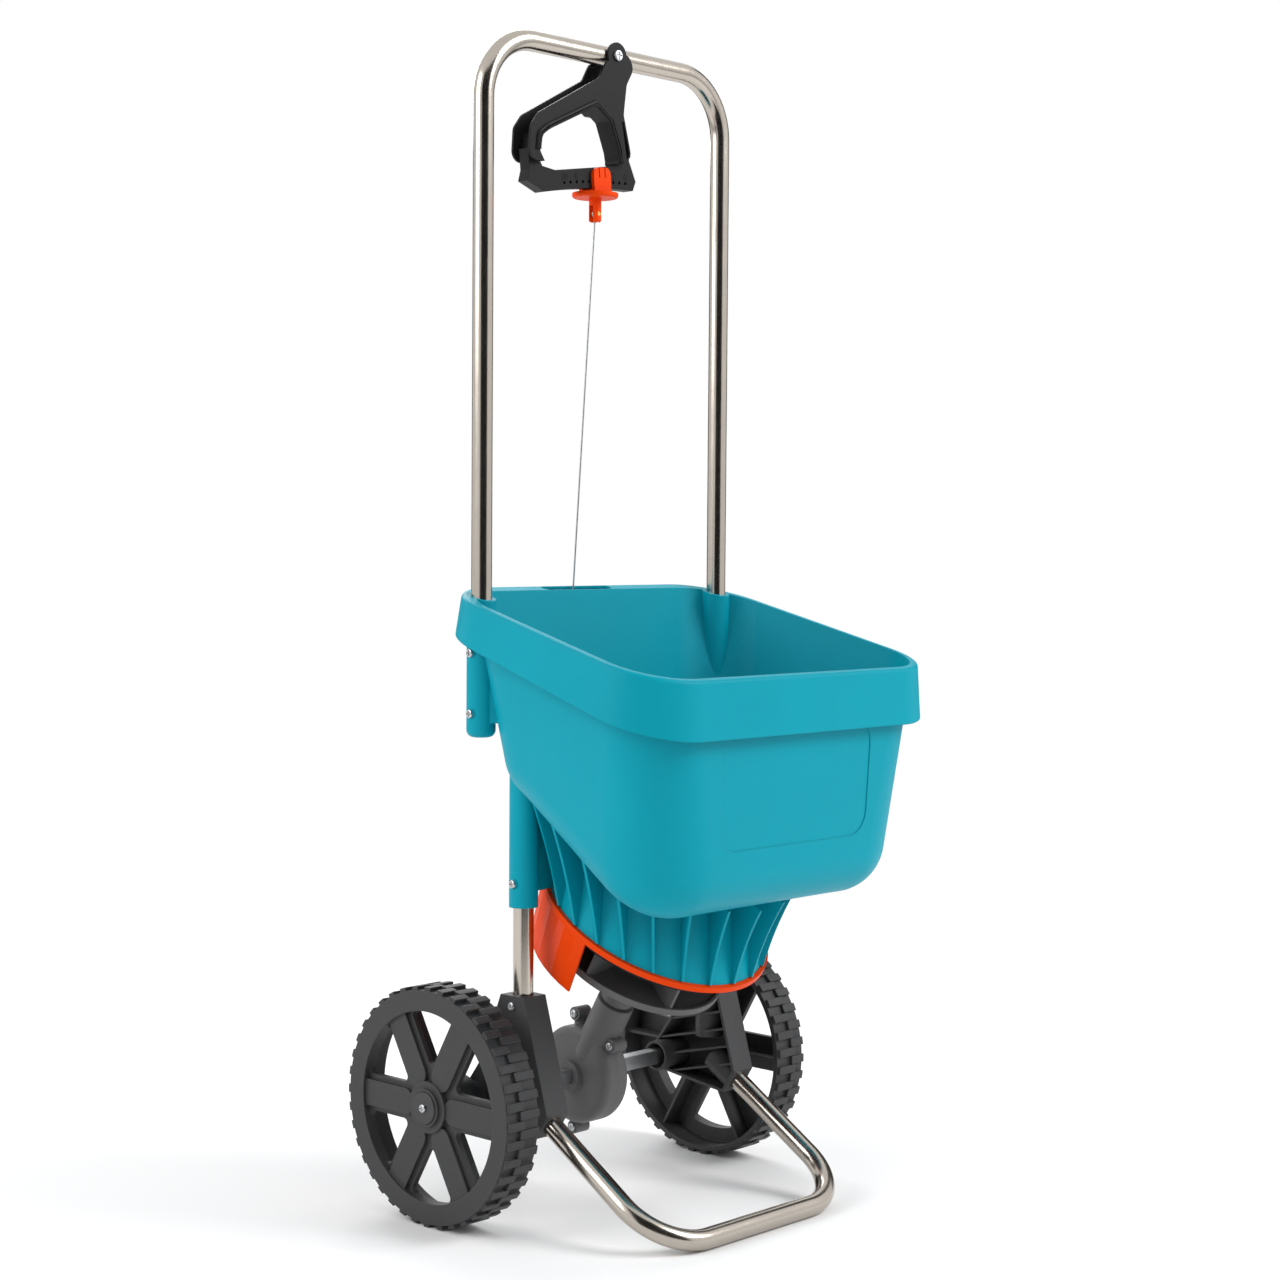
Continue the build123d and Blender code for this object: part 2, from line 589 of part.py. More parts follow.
def axle_bracket(side):
    """Ribbed bracket, open on its inner side, that joins leg, stand and axle."""
    x_in = LEG_HALF - BRACKET_WIDTH / 2
    across = Plane(origin=(x_in, 0, 0), x_dir=(0, 1, 0), z_dir=(1, 0, 0))
    profile = bracket_side()
    shell = extrude(across * profile, amount=BRACKET_WIDTH)
    body = shell - extrude(across * offset(profile, amount=-BRACKET_WALL), amount=BRACKET_WIDTH - BRACKET_WALL)
    rib = block((x_in + 1, -BRACKET_TOP_Z, 0), (x_in + BRACKET_WIDTH, BRACKET_TOP_Z, RIB_THICK))
    for k in range(BRACKET_RIBS):
        body += shell & (Location((0, LEG_Y, RIB_FIRST_Z + RIB_PITCH * k), (-RIB_LEAN, 0, 0)) * rib)
    body += shell & (Pos(LEG_HALF, LEG_Y, 0) * drum(SLEEVE_R, LEG_LOW_Z - BRACKET_WALL, BRACKET_TOP_Z))
    body += shell & rod(SLEEVE_R, stand_top(1, -TUBE_OD), stand_top(1, STAND_DEPTH + BRACKET_WALL))
    body += rod(BOSS_R, (BOSS_IN_X, 0, AXLE_Z), (HUB_BACK_X - HUB_GAP, 0, AXLE_Z))
    body -= Pos(LEG_HALF, LEG_Y, 0) * drum(SOCKET_R, LEG_LOW_Z, CROSSBAR_Z)
    body -= rod(SOCKET_R, stand_top(1, -2 * TUBE_OD), stand_top(1, STAND_DEPTH))
    body -= rod(BOSS_BORE_R, (0, 0, AXLE_Z), (WHEEL_FACE_X, 0, AXLE_Z))
    body -= bracket_screw_hole(1)
    return body if side > 0 else mirrored(body)


def square_bar(half, start, end):
    """Square bar along X through the axle's middle."""
    return block((start, -half, AXLE_Z - half), (end, half, AXLE_Z + half))


def axle():
    end = WHEEL_FACE_X - AXLE_END_IN
    bar = square_bar(AXLE_SIDE / 2, -end, end)
    bar = chamfer(bar.edges().filter_by(Axis.X), 0.8)
    for side in (-1, 1):
        bar -= rod(SCREW_R + TUBE_SLIP, (side * end, 0, AXLE_Z), (side * (end - SCREW_LENGTH), 0, AXLE_Z))
    return bar


def axle_bush(side):
    """Round bush that turns with the axle inside a bracket's boss."""
    body = rod(BOSS_BORE_R - RUNNING, (BUSH_IN_X, 0, AXLE_Z), (HUB_BACK_X - AXLE_PLAY, 0, AXLE_Z))
    body -= square_bar(AXLE_SIDE / 2 + AXLE_PLAY, 0, WHEEL_FACE_X)
    return body if side > 0 else mirrored(body)


def wheel_window():
    """Three-cornered opening between two spokes, in the wheel's plane."""
    reach = WHEEL_R - TREAD_HEIGHT - RIM_BAND
    half = 180 / WHEEL_SPOKES
    tip = SPOKE_WIDTH / 2 / sin(radians(half))
    long = reach / cos(radians(half))
    corner = Polyline((tip, 0), (tip + long * cos(radians(half)), long * sin(radians(half))),
                      (tip + long * cos(radians(half)), -long * sin(radians(half))), close=True)
    wedge = make_face(corner) & Circle(reach)
    return Rot(0, 0, half) * fillet(wedge.vertices(), WINDOW_CORNER)


def tread(phase, low, high):
    """One row of tread lugs round the carcass."""
    step = 360 / TREAD_LUGS
    bar = 2 * pi * WHEEL_R / TREAD_LUGS * LUG_SHARE
    lug = Pos(WHEEL_R - TREAD_HEIGHT, 0) * Rectangle(TREAD_HEIGHT * 2, bar)
    ring = Sketch() + [Rot(0, 0, step * (k + phase)) * lug for k in range(TREAD_LUGS)]
    return Pos(0, 0, low) * extrude(ring & Circle(WHEEL_R), amount=high - low)


def wheel(side):
    """Wheel with lugged tread, drawn round +Z with its outer face at the top."""
    carcass = WHEEL_R - TREAD_HEIGHT
    face = WHEEL_WIDTH
    web_low = face - WEB_RECESS - WEB_THICK
    hub_low = HUB_BACK_X - (WHEEL_FACE_X - WHEEL_WIDTH)
    body = drum(carcass, 0, face) - drum(carcass - TREAD_WALL, -1, face + 1)
    body += drum(carcass - 1, web_low, face - WEB_RECESS)
    body += drum(carcass - 1, web_low, face) - drum(carcass - RIM_BAND, 0, face + 1)
    near = HUB_R - WALL
    pad = Pos((carcass + near) / 2, 0) * SlotOverall(carcass - near, SPOKE_WIDTH - 2 * WINDOW_CORNER)
    rib = Pos((carcass + near) / 2, 0) * Rectangle(carcass - near, WALL)
    pads, windows, ribs = Sketch(), Sketch(), Sketch()
    for k in range(WHEEL_SPOKES):
        turn = Rot(0, 0, 360 / WHEEL_SPOKES * k)
        pads, windows, ribs = pads + turn * pad, windows + turn * wheel_window(), ribs + turn * rib
    body += Pos(0, 0, face - WEB_RECESS) * extrude(pads & Circle(carcass - 1), amount=PAD_RAISE)
    body -= extrude(windows, amount=2 * face)
    body += Pos(0, 0, 2 * WALL) * extrude(ribs, amount=web_low - 2 * WALL)
    body += drum(HUB_R, web_low, face - 1) + drum(HUB_R, hub_low, web_low)
    body += drum(CAP_R + WALL, face - WALL, face + HUB_PROUD)
    body += tread(0, face / 2, face - 1) + tread(0.5, 1, face / 2 + INNER_LUG)
    hole = AXLE_SIDE / 2 + AXLE_PLAY
    body -= block((-hole, -hole, hub_low - 1), (hole, hole, face - AXLE_END_IN + HUB_GAP))
    body -= drum(SCREW_R + TUBE_SLIP, 0, 2 * face)
    body -= drum(CAP_R + TUBE_SLIP, face + HUB_PROUD - CAP_SEAT, 2 * face)
    place = Plane(origin=(WHEEL_FACE_X - WHEEL_WIDTH, 0, AXLE_Z), x_dir=(0, -1, 0), z_dir=(1, 0, 0))
    placed = place.location * body
    return placed if side > 0 else mirrored(placed)


def cap_seat_x():
    """Where a hub cap sits on its wheel."""
    return WHEEL_FACE_X + HUB_PROUD - CAP_SEAT


def hub_cap(side):
    low = cap_seat_x()
    cap = rod(CAP_R, (low, 0, AXLE_Z), (low + CAP_THICK, 0, AXLE_Z))
    cap = fillet(cap.edges().group_by(Axis.X)[-1], 1.2)
    cap -= rod(SCREW_R + TUBE_SLIP, (0, 0, AXLE_Z), (WHEEL_FACE_X * 2, 0, AXLE_Z))
    return cap if side > 0 else mirrored(cap)


def hub_screws():
    seat = cap_seat_x() + CAP_THICK
    return [screw(side, Vector(side * seat, 0, AXLE_Z)) for side in (-1, 1)]


def bevel_gear(own_teeth, other_teeth, phase):
    """Straight bevel gear round +Z with its apex at the origin."""
    pitch = atan2(own_teeth, other_teeth)
    outer = hypot(own_teeth, other_teeth) * GEAR_MODULE / 2
    inner = outer - GEAR_FACE
    tip, root = pitch + TOOTH_TIP * GEAR_MODULE / outer, pitch - TOOTH_ROOT * GEAR_MODULE / outer
    half = pi / own_teeth / 2 * TOOTH_FILL

    def corner(reach, lean, turn):
        return (reach * sin(lean) * cos(turn), reach * sin(lean) * sin(turn), reach * cos(lean))

    def tooth_end(reach):
        wide, slim = half * TOOTH_WIDE, half * TOOTH_SLIM
        return make_face(Polyline(corner(reach, root, -wide), corner(reach, tip, -slim),
                                  corner(reach, tip, slim), corner(reach, root, wide), close=True))
    tooth = loft([tooth_end(inner), tooth_end(outer)], ruled=True)
    sink = root + TOOTH_SINK / outer
    back = outer * cos(root) + GEAR_BACK
    near, far = (inner * sin(sink), inner * cos(sink)), (outer * sin(sink), outer * cos(sink))
    profile = Polyline((0, near[1]), near, far, (far[0], back), (0, back), close=True)
    blank = revolve(make_face(Plane.XZ * profile), Axis.Z)
    step = 360 / own_teeth
    return blank + [Rot(0, 0, step * (k + phase)) * tooth for k in range(own_teeth)]


def crown_gear():
    """Gear on the axle, with the hub that runs in the gearbox."""
    gear = bevel_gear(CROWN_TEETH, PINION_TEETH, 0)
    gear += drum(GEAR_HUB_R, -CASE_COLLAR_X, CASE_COLLAR_X)
    place = Plane(origin=(0, 0, AXLE_Z), x_dir=(0, -sin(TILT), cos(TILT)), z_dir=(1, 0, 0))
    return place.location * gear - square_bar(AXLE_SIDE / 2 + AXLE_PLAY, -WHEEL_FACE_X, WHEEL_FACE_X)


def pinion():
    gear = bevel_gear(PINION_TEETH, CROWN_TEETH, 0.5)
    return on_disc(gear - drum(SHAFT_R + TUBE_SLIP, 0, CASE_NECK_TOP))


def spinner_shaft():
    return on_disc(drum(SHAFT_R, SHAFT_LOW, SHAFT_TOP))


def shaft_bush():
    low = CASE_NECK_TOP - SHAFT_BUSH_LENGTH
    return on_disc(drum(SHAFT_BUSH_R, low, CASE_NECK_TOP) - drum(SHAFT_R + RUNNING, 0, SHAFT_TOP))


def case_ear(along, up):
    return rod(EAR_R, (-EAR_HALF, along, AXLE_Z + up), (EAR_HALF, along, AXLE_Z + up))


def case_ear_web(along, up):
    """Thickening between an ear and the round case."""
    return rod(EAR_R, (0, along / 2, AXLE_Z + up / 2), (0, along, AXLE_Z + up))


def gearbox_whole():
    """Both half cases in one: round case, leaning neck, collars and screw ears."""
    body = rod(CASE_R, (-CASE_HALF, 0, AXLE_Z), (CASE_HALF, 0, AXLE_Z))
    body = fillet(body.edges().filter_by(GeomType.CIRCLE), CASE_ROUND)
    body += on_disc(drum(CASE_NECK_R, CASE_NECK_LOW + CASE_NECK_R, CASE_NECK_TOP))
    body += on_disc(Pos(0, 0, CASE_NECK_LOW + CASE_NECK_R) * Sphere(CASE_NECK_R))
    body += rod(CASE_COLLAR_R, (-CASE_COLLAR_X, 0, AXLE_Z), (CASE_COLLAR_X, 0, AXLE_Z))
    for ear in CASE_EARS:
        body += case_ear(*ear) + case_ear_web(*ear)
    return body


def gearbox_room():
    """Space inside the gearbox for the gears, the hub and the shaft."""
    inside = CASE_HALF - CASE_WALL
    room = rod(CASE_R - CASE_WALL, (-inside, 0, AXLE_Z), (inside, 0, AXLE_Z))
    room += rod(GEAR_HUB_R + RUNNING, (-2 * CASE_COLLAR_X, 0, AXLE_Z), (2 * CASE_COLLAR_X, 0, AXLE_Z))
    room += on_disc(drum(SHAFT_R + 1, 0, SHAFT_TOP))
    room += on_disc(drum(SHAFT_BUSH_R + TUBE_SLIP, CASE_NECK_TOP - SHAFT_BUSH_LENGTH, SHAFT_TOP))
    for along, up in CASE_EARS:
        room += rod(SCREW_R + TUBE_SLIP, (-CASE_R, along, AXLE_Z + up), (EAR_HALF - 1, along, AXLE_Z + up))
    return room


def gearbox_case(side):
    """Half of the gearbox, split in the middle plane."""
    keep = Keep.TOP if side > 0 else Keep.BOTTOM
    return split(gearbox_whole() - gearbox_room(), bisect_by=Plane.YZ, keep=keep)


def gearbox_screws():
    return [screw(-1, Vector(-EAR_HALF, along, AXLE_Z + up)) for along, up in CASE_EARS]


def spinner():
    """Spreading disc with upright vanes and the collar that runs down to the gearbox."""
    floor = SPINNER_LOW + SPINNER_PLATE
    body = drum(SPINNER_R, SPINNER_LOW, SPINNER_LOW + SPINNER_RIM)
    body -= drum(SPINNER_R - WALL, floor, SHAFT_TOP)
    body += drum(COLLAR_R, COLLAR_LOW, SPINNER_LOW + SPINNER_RIM)
    blade = Polyline((COLLAR_R - 1, floor - 1), (VANE_REACH, floor - 1), (VANE_REACH, VANE_TOP),
                     (COLLAR_R - 1, VANE_TOP - COLLAR_R), close=True)
    vane = extrude(make_face(Plane.XZ * blade), amount=VANE_THICK / 2, both=True)
    for k in range(VANES):
        body += Rot(0, 0, 360 / VANES * k + VANE_PHASE) * vane
    return on_disc(body - drum(SHAFT_R + TUBE_SLIP, 0, SHAFT_TOP))


def outlets(shift):
    """Pair of outlet openings, moved along the shutter's way."""
    hole = block((-OUTLET_WIDTH / 2, -OUTLET_LENGTH / 2, 0), (OUTLET_WIDTH / 2, OUTLET_LENGTH / 2, SHAFT_TOP))
    return [Pos(side * OUTLET_OFFSET, shift, 0) * hole for side in (-1, 1)]


def floor_plate():
    """Plate that closes the neck, with a raised pad, outlets and the upper shaft bearing."""
    edge = NECK_INNER - TUBE_SLIP
    body = drum(edge, FLOOR_LOW, FLOOR_EDGE) + drum(FLOOR_PAD_R, FLOOR_LOW, FLOOR_TOP)
    body -= drum(FLOOR_PAD_R - 2 * WALL, 0, FLOOR_TOP - FLOOR_WEB)
    body += drum(COLLAR_R / 2, FLOOR_LOW, FLOOR_TOP)
    body -= outlets(-OUTLET_OFFSET)
    return on_disc(body - drum(SHAFT_R + RUNNING, 0, SHAFT_TOP))


def shutter():
    """Sliding plate over the outlets; its tail leaves the neck and carries the upright lug."""
    low = FLOOR_TOP + SHUTTER_GAP
    room = NECK_INNER - 2 * WALL
    front = -(room ** 2 - SHUTTER_HALF ** 2) ** 0.5
    rear = (room ** 2 - TAIL_SHOULDER ** 2) ** 0.5 - SHUTTER_TRAVEL
    side = (room ** 2 - SHUTTER_HALF ** 2) ** 0.5 - SHUTTER_TRAVEL
    points = [(-SHUTTER_HALF, front), (SHUTTER_HALF, front), (SHUTTER_HALF, side), (TAIL_SHOULDER, rear),
              (TAIL_RIGHT, rear), (TAIL_RIGHT, TAIL_END), (TAIL_LEFT, TAIL_END), (TAIL_LEFT, rear),
              (-TAIL_SHOULDER, rear), (-SHUTTER_HALF, side)]
    body = Pos(0, 0, low) * extrude(make_face(Polyline(*points, close=True)), amount=SHUTTER_THICK)
    body -= outlets(-OUTLET_OFFSET - SHUTTER_TRAVEL)
    slot = SlotCenterToCenter(SHUTTER_TRAVEL, 2 * (SHAFT_R + 1))
    body -= Pos(0, -SHUTTER_TRAVEL / 2, low) * (Rot(0, 0, 90) * extrude(slot, amount=SHUTTER_THICK))
    body += block((TAIL_LEFT, LUG_AT, low), (TAIL_RIGHT, LUG_AT + LUG_THICK, PIN_HEIGHT + PIN_HEAD_R))
    return on_disc(body - rod(PIN_R + RUNNING, (PIN_X, 0, PIN_HEIGHT), (PIN_X, PIN_END, PIN_HEIGHT)))


def shutter_pin():
    """Pin in the neck's rear wall that guides the shutter's lug and holds the spring."""
    end = (PIN_X, PIN_END, PIN_HEIGHT)
    body = rod(PIN_R, (PIN_X, pin_start(), PIN_HEIGHT), end)
    return on_disc(body + rod(PIN_HEAD_R, (PIN_X, PIN_END - PIN_HEAD, PIN_HEIGHT), end))


def shutter_spring():
    """Compression spring between the shutter's lug and the pin's head."""
    start, end = LUG_AT + LUG_THICK + SHUTTER_GAP, PIN_END - PIN_HEAD - SHUTTER_GAP
    rise = (end - start - 2 * SPRING_WIRE_R) / SPRING_TURNS / 4

    def place(k):
        turn = k * pi / 2
        return Vector(SPRING_R * cos(turn), SPRING_R * sin(turn), rise * k)

    def way(k):
        turn = k * pi / 2
        return Vector(-SPRING_R * sin(turn), SPRING_R * cos(turn), rise * 2 / pi)
    edges = []
    for k in range(4 * SPRING_TURNS):
        edges += biarc(place(k), way(k), place(k + 1), way(k + 1))
    path = Wire(edges)
    coil = sweep(Plane(origin=path @ 0, z_dir=path % 0) * Circle(SPRING_WIRE_R), path=path)
    print_least_gap(path)
    at = Plane(origin=(PIN_X, start + SPRING_WIRE_R, PIN_HEIGHT), x_dir=(1, 0, 0), z_dir=(0, 1, 0))
    return on_disc(at.location * coil)


def print_least_gap(path):
    """Prints the least gap between the spring's turns, measured on points half a turn or more apart."""
    per_turn = 24
    points = [path @ (k / (per_turn * SPRING_TURNS)) for k in range(per_turn * SPRING_TURNS + 1)]
    near = min((points[j] - points[i]).length
               for i in range(len(points)) for j in range(i + per_turn // 2, len(points)))
    print("spring, least gap between turns:", round(near - 2 * SPRING_WIRE_R, 2), "mm")


def biarc(start, start_way, end, end_way):
    """Two tangent arcs from one point and direction to another."""
    first, last = start_way.normalized(), end_way.normalized()
    chord = end - start
    both = first + last
    square = both.dot(both) - 4
    linear = chord.dot(both)
    reach = chord.dot(chord) / (2 * linear) if abs(square) < 1e-9 else (
        (linear - (linear ** 2 - square * chord.dot(chord)) ** 0.5) / square)
    joint = (start + first * reach + end - last * reach) * 0.5
    return [Edge.make_tangent_arc(start, first, joint),
            Edge.make_tangent_arc(joint, (end - last * reach) - (start + first * reach), end)]


def agitator():
    """Stirring finger on top of the spinner's shaft."""
    body = drum(2 * SHAFT_R, SHAFT_TOP - AGITATOR_HUB, SHAFT_TOP)
    middle = SHAFT_TOP - AGITATOR_HUB / 2
    for side in (-1, 1):
        body += rod(AGITATOR_R, (0, 0, middle), (side * AGITATOR_REACH, 0, middle + side * AGITATOR_R))
    return on_disc(body - drum(SHAFT_R + TUBE_SLIP, 0, SHAFT_TOP + 1))


def deflector():
    """Ring that snaps round the neck, with a pleated skirt on the operator's side."""
    inner = NECK_R + DEFLECTOR_GAP
    band_low = DEFLECTOR_TOP - DEFLECTOR_BAND
    ring = drum(DEFLECTOR_R, band_low, DEFLECTOR_TOP) - drum(inner, 0, SHAFT_TOP)
    ridge = drum(inner + 1, snap_height(), snap_height() + SNAP_WIDTH)
    ring += ridge - drum(NECK_R - SNAP_DEPTH, 0, SHAFT_TOP)
    skirt = loft([pleats(SKIRT_LOW_R, 0, SKIRT_LOW), pleats(DEFLECTOR_R, SKIRT_PLEAT, band_low)], ruled=True)
    return on_disc(ring + skirt)


def pleats(radius, pleat, height):
    """Zigzag band across the axis; without a pleat it is nearly round."""
    count = 2 * SKIRT_PLEATS

    def row(reach):
        turns = [radians(90 - SKIRT_HALF_ANGLE + 2 * SKIRT_HALF_ANGLE * k / count) for k in range(count + 1)]
        radii = [reach - pleat * (k % 2) for k in range(count + 1)]
        return [(r * cos(turn), r * sin(turn), height) for r, turn in zip(radii, turns)]
    return make_face(Polyline(*row(radius), *reversed(row(radius - SKIRT_THICK)), close=True))


def lever_outline():
    """Outer edge of the lever's side plates, from the pivot."""
    points = [(14.6, 6), (23.6, -10), (13.5, -27), (9.5, -57), (23, -104), (-121, -117),
              (-118.7, -83), (-108, -69.5), (-25.3, -25), (-15.5, -8)]
    plate = make_face(Polyline(*points, close=True))
    return fillet(plate.vertices(), LEVER_CORNER) + Circle(LEVER_LOBE_R)


def lever_window():
    """Finger opening of the lever; its lower side is the bar's upper edge."""
    points = [(-30, -54), (-11, -66), (1, -94), (4, -107.5), (-80, -121), (-97, -119),
              (-106, -106), (-104, -91), (-94, -84)]
    return fillet(make_face(Polyline(*points, close=True)).vertices(), WINDOW_CORNER)


def lever_bar():
    """Outline of the right-hand column and the numbered bar, with the stop at the bar's free end."""
    points = [BAR_RIGHT, (34, -120), (20, -92), (7, -57), (-14, -57), (1, -94), (4, -107.5), (-80, -121),
              (-97, -119), (-106, -106), (-116, -104), (-114, -124), (-117, -135), BAR_LEFT]
    middle = (BAR_LEFT[0] + BAR_RIGHT[0]) / 2
    low_edge = ThreePointArc(BAR_LEFT, (middle, bar_height(middle)), BAR_RIGHT)
    return make_face([*Polyline(*points).edges(), low_edge])


def control_lever():
    """D-shaped lever: two side plates joined by a web round the finger window, and the bar below."""
    edge, window = lever_outline(), lever_window()
    plate = extrude(edge - window, amount=LEVER_PLATE)
    web = (offset(window, amount=LEVER_WEB) & edge) - window
    body = Pos(0, 0, LEVER_INNER) * plate + Pos(0, 0, -LEVER_HALF) * plate
    body += extrude(web, amount=LEVER_INNER, both=True)
    body -= block((-SLIDER_WIDTH, BAR_RIGHT[1], -2 * LEVER_HALF), (2 * SLIDER_WIDTH, -60, -BAR_THICK / 2))
    body += extrude(lever_bar() - window, amount=BAR_THICK / 2, both=True)
    slot = make_face(Polyline((7, -64), (7 + COLUMN_SLOT, -64), (19, -100), (19 - COLUMN_SLOT, -100), close=True))
    body -= Pos(0, 0, LEVER_INNER) * extrude(slot, amount=LEVER_PLATE)
    for k in range(SCALE_STEPS + 1):
        x = SCALE_ZERO_X - SCALE_STEP * k
        hole = drum(SCALE_HOLE_R, BAR_THICK / 2 - WALL, BAR_THICK)
        body -= Pos(x, bar_height(x) + SCALE_HOLE_RISE, 0) * hole
    body -= drum(PIVOT_R + RUNNING, -2 * LEVER_HALF, 2 * LEVER_HALF)
    return LEVER_PLANE.location * body


def lever_bolt():
    """Pivot bolt through lever and crossbar."""
    seat = LEVER_HALF + BOLT_PLAY
    head_r, head = 1.3 * SCREW_HEAD_R, SCREW_HEAD
    top = drum(head_r, seat, seat + head)
    top = fillet(top.edges().group_by(Axis.Z)[-1], head / 2)
    for turn in (0, 90):
        top -= Pos(0, 0, seat + head) * (Rot(0, 0, turn) * Box(1.4 * head_r, 1.2, head))
    return LEVER_PLANE.location * (top + drum(PIVOT_R, -seat - NUT_HEIGHT - 1, seat))


def lever_nut():
    hexagon = RegularPolygon(2 * PIVOT_R, 6) - Circle(PIVOT_R + TUBE_SLIP)
    nut = extrude(hexagon, amount=NUT_HEIGHT)
    return LEVER_PLANE.location * (Pos(0, 0, -LEVER_HALF - BOLT_PLAY - NUT_HEIGHT) * nut)


def bar_height(x):
    """Lower edge of the lever's bar at a place along it."""
    return BAR_CENTRE.Y + (BAR_RADIUS ** 2 - (x - BAR_CENTRE.X) ** 2) ** 0.5


def dosing_slider():
    """Clip on the lever's bar, with a flange for the thumb and a forked stem for the wire."""
    near = BAR_THICK / 2 + SLIDER_GAP
    far = near + SLIDER_WALL
    turn = Pos(SLIDER_X, bar_height(SLIDER_X)) * Rot(0, 0, degrees(BAR_SLOPE))
    low = SLIDER_GAP + SLIDER_WALL
    tongue = Pos(0, (BAR_CLIP - low) / 2) * RectangleRounded(SLIDER_WIDTH, BAR_CLIP + low, SLIDER_TIP)
    slits = [Pos(side * SLIDER_WIDTH / 6, BAR_CLIP) * Rectangle(SLIDER_SLIT, BAR_CLIP) for side in (-1, 1)]
    hook = Pos(0, (REAR_HOOK - low) / 2) * Rectangle(SLIDER_WIDTH, REAR_HOOK + low)
    base = Pos(0, -SLIDER_GAP - SLIDER_WALL / 2) * Rectangle(SLIDER_WIDTH, SLIDER_WALL)
    body = turn * (Pos(0, 0, near) * extrude(tongue - slits, amount=SLIDER_WALL))
    body += turn * (Pos(0, 0, -far) * extrude(hook, amount=SLIDER_WALL))
    body += turn * extrude(base, amount=far, both=True)
    return LEVER_PLANE.location * (body + slider_stem())


def slider_stem():
    """Thumb flange and forked stem, hanging upright below the clip."""
    axis = LEVER_PLANE.to_local_coords(barrel_axis())
    low = axis.Y - BARREL_ABOVE
    top = low + STEM_LENGTH
    stem = drum(STEM_R, low, top + SLIDER_FLANGE + SLIDER_WALL / 2)
    stem = fillet(stem.edges().group_by(Axis.Z)[0], STEM_R / 3)
    flange = drum(SLIDER_FLANGE_R, top, top + SLIDER_FLANGE)
    flange = fillet(flange.edges().group_by(Axis.Z)[0], SLIDER_FLANGE / 2)
    upright = Plane(origin=(axis.X, 0, 0), x_dir=(1, 0, 0), z_dir=(0, 1, 0)).location
    fork = block((axis.X - 2 * STEM_R, low - 1, -WIRE_SLOT / 2),
                 (axis.X + 2 * STEM_R, axis.Y + BARREL_ABOVE, WIRE_SLOT / 2))
    hole = Pos(axis.X, axis.Y, 0) * drum(BARREL_R + RUNNING, -2 * STEM_R, 2 * STEM_R)
    return upright * (stem + flange) - fork - hole


def wire_barrel():
    axis = barrel_axis()
    reach = Vector(0, STEM_R - 0.4, 0)
    return rod(BARREL_R, axis - reach, axis + reach)


def pull_wire():
    """Straight wire with an eye round the barrel, down to the nipple."""
    top, end = barrel_axis(), wire_at(WIRE_END_Z)
    eye_r = BARREL_R + EYE_GAP + WIRE_R
    way = (end - top).normalized()
    eye = Plane(origin=top, x_dir=(1, 0, 0), z_dir=(0, 1, 0)).location * Torus(eye_r, WIRE_R)
    return eye + rod(WIRE_R, top + way * eye_r, end)


def wire_nipple():
    """Pressed sleeve on the lower end of the wire."""
    end = wire_at(WIRE_END_Z)
    way = (barrel_axis() - end).normalized()
    body = rod(NIPPLE_R, end, end + way * NIPPLE_LENGTH)
    return body - rod(WIRE_R + TUBE_SLIP, end - way, end + way * 2 * NIPPLE_LENGTH)


def tube_screws():
    return [screw(side, head) for side, head in screw_axes()]


def bracket_screws():
    return [screw(side, bracket_screw_head(side)) for side in (-1, 1)]


def save(name, shape):
    """Shifts a piece to the part's origin and writes it."""
    solids = shape if isinstance(shape, list) else [shape]
    placed = [Pos(0, BASE_SHIFT, 0) * solid for solid in solids]
    export_step(Compound(children=placed) if len(placed) > 1 else placed[0], f"parts/{name}.step")


def main():
    os.makedirs("parts", exist_ok=True)
    for side, word in ((-1, "left"), (1, "right")):
        for make in (leg_tube, axle_bracket, axle_bush, wheel, hub_cap, gearbox_case):
            save(f"{word}_{make.__name__}", make(side))
    for make in (hopper, handle_tube, stand_tube, axle, crown_gear, pinion, spinner_shaft, shaft_bush, spinner,
                 floor_plate, shutter, shutter_pin, shutter_spring, agitator, deflector, control_lever,
                 lever_bolt, lever_nut, dosing_slider, wire_barrel, pull_wire, wire_nipple,
                 hub_screws, gearbox_screws, tube_screws, bracket_screws):
        save(make.__name__, make())


main()
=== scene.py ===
import json
import math
import bmesh
import bpy
from mathutils import Matrix, Vector


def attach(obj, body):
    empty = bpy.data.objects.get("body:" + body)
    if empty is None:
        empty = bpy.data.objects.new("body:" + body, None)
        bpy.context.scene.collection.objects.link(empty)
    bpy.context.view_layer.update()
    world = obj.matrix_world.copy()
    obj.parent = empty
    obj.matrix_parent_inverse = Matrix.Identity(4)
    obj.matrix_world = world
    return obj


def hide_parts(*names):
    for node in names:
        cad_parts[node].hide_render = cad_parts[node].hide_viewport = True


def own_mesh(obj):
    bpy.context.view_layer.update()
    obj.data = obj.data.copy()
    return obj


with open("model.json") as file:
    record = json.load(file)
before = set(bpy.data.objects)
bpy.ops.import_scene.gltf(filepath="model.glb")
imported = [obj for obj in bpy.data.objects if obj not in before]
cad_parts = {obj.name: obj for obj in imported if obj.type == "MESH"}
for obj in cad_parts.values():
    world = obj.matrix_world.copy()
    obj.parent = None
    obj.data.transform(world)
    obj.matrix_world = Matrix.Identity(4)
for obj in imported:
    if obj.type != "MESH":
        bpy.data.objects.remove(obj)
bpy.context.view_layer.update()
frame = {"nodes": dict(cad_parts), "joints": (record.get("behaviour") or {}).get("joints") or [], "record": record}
nodes = frame["nodes"]
joints = {joint["name"]: joint for joint in frame["joints"]}
scene = bpy.context.scene
scene.view_settings.view_transform = "Standard"
axlePoint = Vector(joints["axle_spin"]["pos_m"])
leverPivot = Vector(joints["lever_swing"]["pos_m"])
scaleCentre = Vector(joints["dosing_shift"]["pos_m"]) - leverPivot
plainWhite = (1.0, 1.0, 1.0, 1.0)
print("frame loaded,", len(nodes), "nodes")


